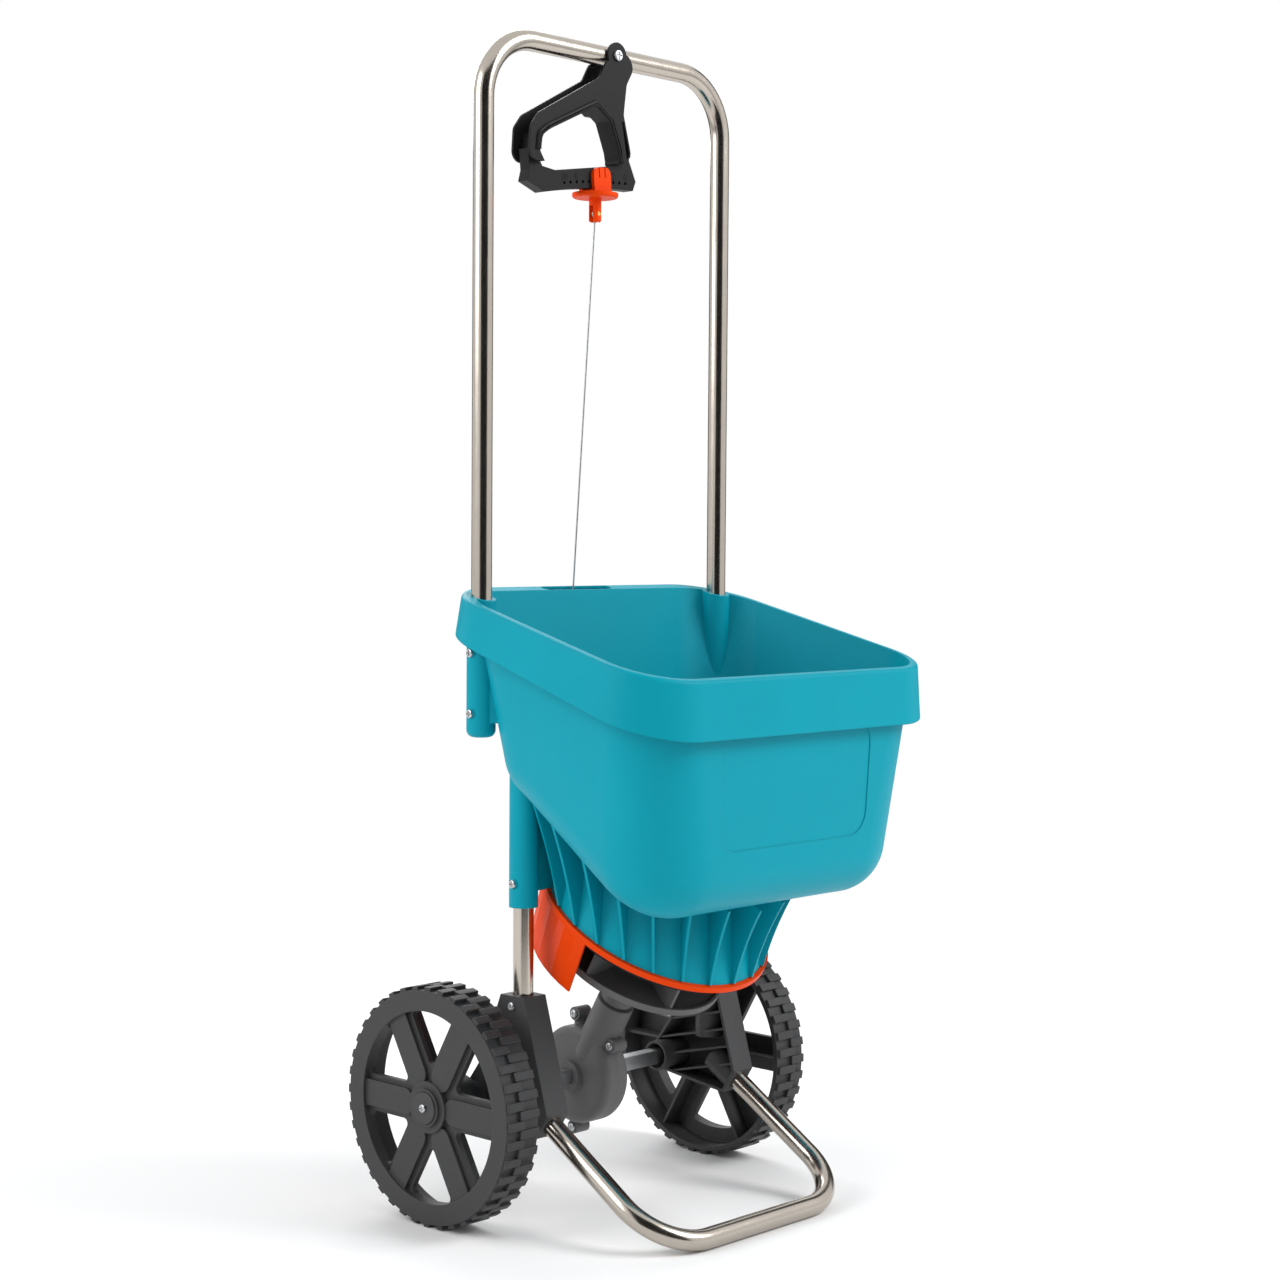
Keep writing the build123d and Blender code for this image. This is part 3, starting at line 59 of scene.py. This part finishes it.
# A value on its way through a node tree. Sums and products of such values add Math nodes.
class Wire:
    def __init__(self, tree, socket=None):
        self.tree = tree
        self.socket = socket

    def add(self, kind, inputs=None, out=0, **settings):
        node = self.tree.nodes.new(kind)
        for name, value in settings.items():
            setattr(node, name, value)
        for key, value in (inputs or {}).items():
            if isinstance(value, Wire):
                self.tree.links.new(value.socket, node.inputs[key])
            else:
                node.inputs[key].default_value = value
        return Wire(self.tree, node.outputs[out])

    def math(self, operation, first, second=0.0):
        return self.add("ShaderNodeMath", {0: first, 1: second}, operation=operation)

    def __add__(self, other):
        return self.math("ADD", self, other)

    def __radd__(self, other):
        return self.math("ADD", other, self)

    def __sub__(self, other):
        return self.math("SUBTRACT", self, other)

    def __rsub__(self, other):
        return self.math("SUBTRACT", other, self)

    def __mul__(self, other):
        return self.math("MULTIPLY", self, other)

    def __rmul__(self, other):
        return self.math("MULTIPLY", other, self)


def srgb(red, green, blue):
    def linear(c):
        c = c / 255
        return c / 12.92 if c <= 0.04045 else ((c + 0.055) / 1.055) ** 2.4
    return (linear(red), linear(green), linear(blue), 1.0)


def scaled(colour, gain):
    return tuple(min(c * gain, 1.0) for c in colour[:3]) + (1.0,)


# A Mix node's colours are its sockets 6 and 7, and its mixed colour is output 2.
def mixed(wire, share, first, second):
    return wire.add("ShaderNodeMix", {0: share, 6: first, 7: second}, out=2, data_type="RGBA",
                    clamp_factor=True)


def toned(wire, share, colour, finish):
    return mixed(wire, share, scaled(colour, finish["dark"]), scaled(colour, finish["light"]))


noiseLook = {"rough": 0.6, "middle": 0.5}


def noise(wire, place, scale, detail):
    return wire.add("ShaderNodeTexNoise", {"Vector": place, "Scale": scale, "Detail": detail,
                                           "Roughness": noiseLook["rough"]})


# Noise that swings both ways about nothing.
def swing(value, reach):
    return (value - noiseLook["middle"]) * reach


def softEdges(wire, radius):
    return wire.add("ShaderNodeBevel", {"Radius": radius}, samples=4)


def relief(wire, strength, depth, height, normal):
    return wire.add("ShaderNodeBump", {"Strength": strength, "Distance": depth, "Height": height,
                                       "Normal": normal})


def newMaterial(name, values):
    material = bpy.data.materials.new(name)
    material.use_nodes = True
    shader = material.node_tree.nodes["Principled BSDF"]
    wire = Wire(material.node_tree)
    for key, value in values(wire).items():
        if isinstance(value, Wire):
            material.node_tree.links.new(value.socket, shader.inputs[key])
        else:
            shader.inputs[key].default_value = value
    return material


# Moulded plastic: spark-eroded grain, cloudy tone, edges worn a little lighter.
moulding = {"grainDetail": 2.0, "depthShare": 0.4, "cloud": 9.0, "cloudDetail": 4.0, "cloudRough": 0.1,
            "scuff": 140.0, "scuffDetail": 5.0, "scuffRough": 0.08, "dark": 0.93, "light": 1.07}


def plastic(name, look):
    def values(wire):
        place = wire.add("ShaderNodeTexCoord", out="Object")
        grain = noise(wire, place, 1 / look["grain"], moulding["grainDetail"])
        cloud = noise(wire, place, moulding["cloud"], moulding["cloudDetail"])
        scuff = noise(wire, place, moulding["scuff"], moulding["scuffDetail"])
        soft = softEdges(wire, look["edge"])
        flat = wire.add("ShaderNodeNewGeometry", out="Normal")
        facing = wire.add("ShaderNodeVectorMath", {0: soft, 1: flat}, out="Value",
                          operation="DOT_PRODUCT")
        worn = (1.0 - facing) * look["wear"] * scuff
        tone = toned(wire, cloud, look["colour"], moulding)
        rough = look["rough"] + swing(cloud, moulding["cloudRough"]) + swing(scuff, moulding["scuffRough"])
        depth = look["grain"] * moulding["depthShare"]
        return {"Base Color": mixed(wire, worn, tone, look["worn"]), "Roughness": rough,
                "Normal": relief(wire, look["relief"], depth, grain, soft),
                "Specular IOR Level": look["gloss"]}
    return newMaterial(name, values)


# Drawn or plated metal: fine lines along one way, cloudy polish.
drawing = {"lineDetail": 2.0, "lineShare": 0.6, "lineRough": 0.1, "depth": 0.00005, "cloudDetail": 4.0,
           "cloudShare": 0.4, "cloudRough": 0.12, "dark": 0.88, "light": 1.1}


def metal(name, look):
    def values(wire):
        place = wire.add("ShaderNodeTexCoord", out="Object")
        drawn = wire.add("ShaderNodeMapping", {"Vector": place, "Scale": look["lines"]})
        line = noise(wire, drawn, 1.0, drawing["lineDetail"])
        cloud = noise(wire, place, look["cloud"], drawing["cloudDetail"])
        soft = softEdges(wire, look["edge"])
        share = line * drawing["lineShare"] + cloud * drawing["cloudShare"]
        rough = look["rough"] + swing(line, drawing["lineRough"]) + swing(cloud, drawing["cloudRough"])
        return {"Base Color": toned(wire, share, look["colour"], drawing), "Roughness": rough,
                "Normal": relief(wire, look["relief"], drawing["depth"], line, soft), "Metallic": 1.0}
    return newMaterial(name, values)


plasticLooks = {
    "teal_plastic": {"colour": srgb(0, 149, 168), "worn": srgb(40, 175, 190), "rough": 0.45, "gloss": 0.11,
                     "grain": 0.0007, "relief": 0.22, "edge": 0.0016, "wear": 0.4},
    "orange_plastic": {"colour": srgb(230, 66, 2), "worn": srgb(245, 105, 40), "rough": 0.42, "gloss": 0.09,
                       "grain": 0.0006, "relief": 0.15, "edge": 0.0008, "wear": 0.4},
    "black_plastic": {"colour": srgb(33, 33, 34), "worn": srgb(88, 88, 89), "rough": 0.42, "gloss": 0.11,
                      "grain": 0.0006, "relief": 0.25, "edge": 0.0010, "wear": 0.7},
    # Lighter copy of the black plastic: painted light for the brackets' shade under the hopper.
    "lit_bracket_plastic": {"colour": srgb(68, 68, 69), "worn": srgb(112, 112, 113), "rough": 0.45, "gloss": 0.2,
                        "grain": 0.0006, "relief": 0.25, "edge": 0.0010, "wear": 0.7},
    "wheel_plastic": {"colour": srgb(54, 54, 55), "worn": srgb(108, 108, 108), "rough": 0.5, "gloss": 0.32,
                      "grain": 0.0008, "relief": 0.35, "edge": 0.0016, "wear": 1.0},
    "cap_plastic": {"colour": srgb(50, 50, 51), "worn": srgb(110, 110, 110), "rough": 0.3, "gloss": 0.4,
                    "grain": 0.0006, "relief": 0.1, "edge": 0.0008, "wear": 0.8},
    "grey_plastic": {"colour": srgb(98, 98, 99), "worn": srgb(140, 140, 141), "rough": 0.46, "gloss": 0.26,
                     "grain": 0.0007, "relief": 0.25, "edge": 0.0012, "wear": 0.7},
}
metalLooks = {
    "tube_steel": {"colour": srgb(184, 176, 166), "lines": (900.0, 900.0, 26.0), "cloud": 40.0,
                   "rough": 0.19, "relief": 0.08, "edge": 0.0006},
    "zinc_steel": {"colour": srgb(190, 192, 194), "lines": (500.0, 500.0, 500.0), "cloud": 300.0,
                   "rough": 0.32, "relief": 0.2, "edge": 0.0003},
    "brass": {"colour": srgb(206, 170, 98), "lines": (700.0, 700.0, 700.0), "cloud": 250.0,
              "rough": 0.3, "relief": 0.15, "edge": 0.0002},
}
materials = {name: plastic(name, look) for name, look in plasticLooks.items()}
materials.update({name: metal(name, look) for name, look in metalLooks.items()})
for part in frame["record"]["subparts"]:
    mesh = nodes[part["node"]].data
    mesh.materials.clear()
    mesh.materials.append(materials[part["material_slot"]])
# The brackets get a lighter copy of the black plastic: painted light, standing in for the fill light they lack in
# the hopper's shade.
for node in ("left_axle_bracket", "right_axle_bracket"):
    nodes[node].data.materials[0] = materials["lit_bracket_plastic"]
print("materials set,", len(materials))


def newPiece(name, mesh, body, slot):
    piece = bpy.data.objects.new(name, mesh)
    scene.collection.objects.link(piece)
    mesh.materials.clear()
    mesh.materials.append(materials[slot])
    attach(piece, body)
    return piece


# Raised numbers of the dosing scale, on the front of the lever's bar, along its arched lower edge.
# The dosing slider's joint stands at the centre of that arch.
scaleNumbers = {"words": ("10", "8", "6", "4", "2", "0"), "zero": 0.019, "step": 0.0086, "height": 0.0068,
                "raise": 0.0002, "edge": 0.0001, "capShare": 0.7, "front": 0.0065, "radius": 0.636,
                "rise": 0.0124}


def numberMesh(word, look):
    curve = bpy.data.curves.new("number", "FONT")
    curve.body = word
    curve.size = look["height"] / look["capShare"]
    curve.extrude = look["raise"]
    curve.bevel_depth = look["edge"]
    curve.align_x = "CENTER"
    curve.align_y = "CENTER"
    maker = bpy.data.objects.new("numberMaker", curve)
    scene.collection.objects.link(maker)
    bpy.context.view_layer.update()
    finished = maker.evaluated_get(bpy.context.evaluated_depsgraph_get())
    mesh = bpy.data.meshes.new_from_object(finished)
    bpy.data.objects.remove(maker)
    along = look["zero"] - look["step"] * int(word)
    slope = math.asin((scaleCentre.x - along) / look["radius"])
    up = scaleCentre.z + look["radius"] * math.cos(slope) + look["rise"]
    mesh.transform(Matrix.Translation(leverPivot + Vector((along, -look["front"], up)))
                   @ Matrix.Rotation(-slope, 4, "Y") @ Matrix.Rotation(math.pi / 2, 4, "X"))
    return mesh


for word in scaleNumbers["words"]:
    newPiece("scaleNumber" + word, numberMesh(word, scaleNumbers), "lever", "black_plastic")
print("scale numbers made")


# Shapes on the lever are drawn flat, measured from its pivot, and then stood up on its front.
def outlineShape(edge):
    shape = bmesh.new()
    shape.faces.new([shape.verts.new((x, z, 0.0)) for x, z in edge])
    shape.normal_update()
    return shape


def raiseFaces(shape, height):
    raised = bmesh.ops.extrude_face_region(shape, geom=shape.faces[:], use_keep_orig=True)["geom"]
    points = [item for item in raised if isinstance(item, bmesh.types.BMVert)]
    bmesh.ops.translate(shape, verts=points, vec=(0, 0, height))
    bmesh.ops.recalc_face_normals(shape, faces=shape.faces[:])


def roundEdges(shape, edges, radius):
    bmesh.ops.bevel(shape, geom=list(edges), offset=radius, offset_type="OFFSET", affect="EDGES",
                    segments=4, profile=0.5, material=-1, clamp_overlap=True)
    shape.normal_update()


def leverMesh(name, shape, front):
    upright = Matrix.Rotation(math.pi / 2, 4, "X")
    shape.transform(Matrix.Translation(leverPivot + Vector((0, -front, 0))) @ upright)
    for face in shape.faces:
        face.smooth = True
    mesh = bpy.data.meshes.new(name)
    shape.to_mesh(mesh)
    shape.free()
    return mesh


# Rolled edge along the arm and the column of the lever, round the finger window, on the front plate.
gripRoll = {"edge": ((-0.0295, -0.0466), (-0.0058, -0.0616), (0.0072, -0.092), (0.0118, -0.1128),
                     (-0.0799, -0.1276), (-0.1007, -0.1251), (-0.1128, -0.1076), (-0.1101, -0.0873),
                     (-0.0973, -0.0784)),
            "front": 0.0122, "wide": 0.0065, "high": 0.003, "corner": 0.004, "round": 0.002,
            "lowEnd": -0.1045, "topFacing": 0.9}


def gripRollMesh(look):
    shape = outlineShape(look["edge"])
    window = shape.faces[:]
    bmesh.ops.inset_region(shape, faces=window, thickness=look["wide"], use_boundary=True,
                           use_even_offset=True)
    bmesh.ops.delete(shape, geom=window, context="FACES")
    raiseFaces(shape, look["high"])
    upright = [edge for edge in shape.edges
               if abs(edge.verts[0].co.z - edge.verts[1].co.z) > look["high"] / 2]
    roundEdges(shape, upright, look["corner"])
    top = {face for face in shape.faces if face.normal.z > look["topFacing"]}
    rim = {edge for face in top for edge in face.edges
           if any(other not in top for other in edge.link_faces)}
    roundEdges(shape, rim, look["round"])
    bmesh.ops.bisect_plane(shape, geom=shape.verts[:] + shape.edges[:] + shape.faces[:],
                           plane_co=(0, look["lowEnd"], 0), plane_no=(0, -1, 0), clear_outer=True)
    bmesh.ops.holes_fill(shape, edges=[edge for edge in shape.edges if edge.is_boundary])
    bmesh.ops.recalc_face_normals(shape, faces=shape.faces[:])
    return leverMesh("gripRoll", shape, look["front"])


newPiece("gripRoll", gripRollMesh(gripRoll), "lever", "black_plastic")
print("grip roll made")

# Thin wall that closes the outer side of the slot in the lever's column.
slotWall = {"edge": ((0.0086, -0.061), (0.0102, -0.061), (0.0189, -0.091), (0.0194, -0.0945),
                     (0.0189, -0.0976), (0.0175, -0.1006), (0.0162, -0.1), (0.0174, -0.0972),
                     (0.0179, -0.0945), (0.0174, -0.091)),
            "front": 0.0062, "high": 0.0065, "round": 0.0004}


def slotWallMesh(look):
    shape = outlineShape(look["edge"])
    raiseFaces(shape, look["high"])
    roundEdges(shape, shape.edges[:], look["round"])
    return leverMesh("slotWall", shape, look["front"])


newPiece("slotWall", slotWallMesh(slotWall), "lever", "black_plastic")
print("slot wall made")

# Return spring on the shutter's pin, a copy of the CAD spring with its doubled points merged and its faces smooth.
springLook = {"node": "shutter_spring", "joint": "shutter_slide", "merge": 1e-6}


def springMesh(look):
    shape = bmesh.new()
    shape.from_mesh(nodes[look["node"]].data)
    bmesh.ops.remove_doubles(shape, verts=shape.verts[:], dist=look["merge"])
    for face in shape.faces:
        face.smooth = True
    mesh = bpy.data.meshes.new("returnSpring")
    shape.to_mesh(mesh)
    shape.free()
    return mesh


spring = newPiece("returnSpring", springMesh(springLook), "frame", "zinc_steel")
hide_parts(springLook["node"])
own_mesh(spring)


def stagePaint(name, look):
    return newMaterial(name, lambda wire: {"Base Color": look["colour"], "Roughness": look["rough"],
                                           "Specular IOR Level": look["gloss"]})


# Pale floor that turns to plain white away from the object.
floorLook = {"half": 9.0, "colour": (0.92, 0.92, 0.92, 1.0), "rough": 0.9, "gloss": 0.1, "near": 0.55,
             "far": 1.6}
floorMesh = bpy.data.meshes.new("floor")
floorShape = bmesh.new()
bmesh.ops.create_grid(floorShape, x_segments=1, y_segments=1, size=floorLook["half"])
floorShape.to_mesh(floorMesh)
floorShape.free()
floor = bpy.data.objects.new("floor", floorMesh)
scene.collection.objects.link(floor)
paint = stagePaint("floorPaint", floorLook)
floorMesh.materials.append(paint)
wire = Wire(paint.node_tree)
place = wire.add("ShaderNodeTexCoord", out="Object")
reach = wire.add("ShaderNodeVectorMath", {0: place}, out="Value", operation="LENGTH")
fade = wire.add("ShaderNodeMapRange", {"Value": reach, 1: floorLook["near"], 2: floorLook["far"]},
                interpolation_type="SMOOTHSTEP")
glow = wire.add("ShaderNodeEmission", {"Color": plainWhite, "Strength": 1.0})
matt = Wire(paint.node_tree, paint.node_tree.nodes["Principled BSDF"].outputs[0])
seen = wire.add("ShaderNodeLightPath", out="Is Camera Ray")
both = wire.add("ShaderNodeMixShader", {0: fade * seen, 1: matt, 2: glow})
paint.node_tree.links.new(both.socket, paint.node_tree.nodes["Material Output"].inputs["Surface"])

# Camera of the photograph, placed from the point on the ground below the axle.
cameraLook = {"place": (-1.7167, -1.6953, 0.6685), "yaw": 46.66, "pitch": 2.606, "roll": 0.42,
              "lens": 66.952, "sensor": 36.0, "sees": 60.0}
yaw, pitch, roll = (math.radians(cameraLook[key]) for key in ("yaw", "pitch", "roll"))
level = Vector((math.sin(yaw), math.cos(yaw), 0))
forward = level * math.cos(pitch) - Vector((0, 0, math.sin(pitch)))
right = Vector((math.cos(yaw), -math.sin(yaw), 0))
up = right.cross(forward)
across = right * math.cos(roll) + up * math.sin(roll)
above = up * math.cos(roll) - right * math.sin(roll)
camera = bpy.data.objects.new("camera", bpy.data.cameras.new("camera"))
scene.collection.objects.link(camera)
camera.data.sensor_width = cameraLook["sensor"]
camera.data.sensor_fit = "HORIZONTAL"
camera.data.lens = cameraLook["lens"]
camera.data.clip_end = cameraLook["sees"]
viewpoint = Vector(cameraLook["place"]) + Vector((0, axlePoint.y, 0))
camera.matrix_world = Matrix.Translation(viewpoint) @ Matrix((across, above, -forward)).transposed().to_4x4()
scene.camera = camera

# Soft room: white to the eye and in reflections, a plain grey fill on the object.
worldLook = {"fill": (0.6, 0.6, 0.605, 1.0)}
world = bpy.data.worlds.new("room")
scene.world = world
world.use_nodes = True
world.node_tree.nodes.clear()
wire = Wire(world.node_tree)
fill = wire.add("ShaderNodeBackground", {"Color": worldLook["fill"], "Strength": 1.0})
white = wire.add("ShaderNodeBackground", {"Color": plainWhite, "Strength": 1.0})
seen = wire.add("ShaderNodeLightPath", out="Is Camera Ray")
rays = seen.socket.node.outputs
glossy = Wire(world.node_tree, rays["Is Glossy Ray"])
through = Wire(world.node_tree, rays["Is Transmission Ray"])
sky = wire.add("ShaderNodeMixShader", {0: seen + glossy + through, 1: fill, 2: white})
ending = world.node_tree.nodes.new("ShaderNodeOutputWorld")
world.node_tree.links.new(sky.socket, ending.inputs["Surface"])

# Dark studio flags, seen only in reflections: three side by side towards the camera, two far behind.
# A turn is in degrees from the camera's view, round the object.
flagLooks = {
    "nearFlag": {"turns": (169, 194, 219), "reach": 1.4, "wide": 0.62, "tall": 2.25, "lift": 0.02},
    "farFlag": {"turns": (36, 324), "reach": 3.2, "wide": 1.42, "tall": 3.4, "lift": 0.02},
}
flagPaint = stagePaint("flagPaint", {"colour": (0.02, 0.02, 0.02, 1.0), "rough": 1.0, "gloss": 0.0})


def addFlag(name, turn, look):
    shape = bmesh.new()
    bmesh.ops.create_grid(shape, x_segments=1, y_segments=1, size=0.5)  # one metre square
    upright = Matrix.Rotation(math.pi / 2, 4, "X")
    size = Matrix.Diagonal((look["wide"], 1.0, look["tall"], 1.0))
    shift = Matrix.Translation((0, look["reach"], look["tall"] / 2 + look["lift"]))
    shape.transform(Matrix.Rotation(math.radians(turn) - yaw, 4, "Z") @ shift @ size @ upright)
    mesh = bpy.data.meshes.new(name)
    shape.to_mesh(mesh)
    shape.free()
    mesh.materials.append(flagPaint)
    flag = bpy.data.objects.new(name + str(turn), mesh)
    scene.collection.objects.link(flag)
    flag.visible_camera = False
    flag.visible_diffuse = False
    flag.visible_shadow = False


for name, look in flagLooks.items():
    for turn in look["turns"]:
        addFlag(name, turn, look)

lampLooks = {
    "leftLamp": {"place": (-2.5, 0.9, 1.9), "size": 1.8, "power": 42.0},
    "rightLamp": {"place": (1.6, -2.5, 2.7), "size": 1.7, "power": 86.0},
    "backLamp": {"place": (1.2, 2.4, 2.3), "size": 1.8, "power": 40.0},
}
lampAim = Vector((0, 0, 0.55))
for name, look in lampLooks.items():
    lamp = bpy.data.lights.new(name, "AREA")
    lamp.size = look["size"]
    lamp.energy = look["power"]
    holder = bpy.data.objects.new(name, lamp)
    scene.collection.objects.link(holder)
    place = Vector(look["place"])
    aim = (lampAim - place).to_track_quat("-Z", "Y")
    holder.matrix_world = Matrix.Translation(place) @ aim.to_matrix().to_4x4()
print("stage, camera and light set")
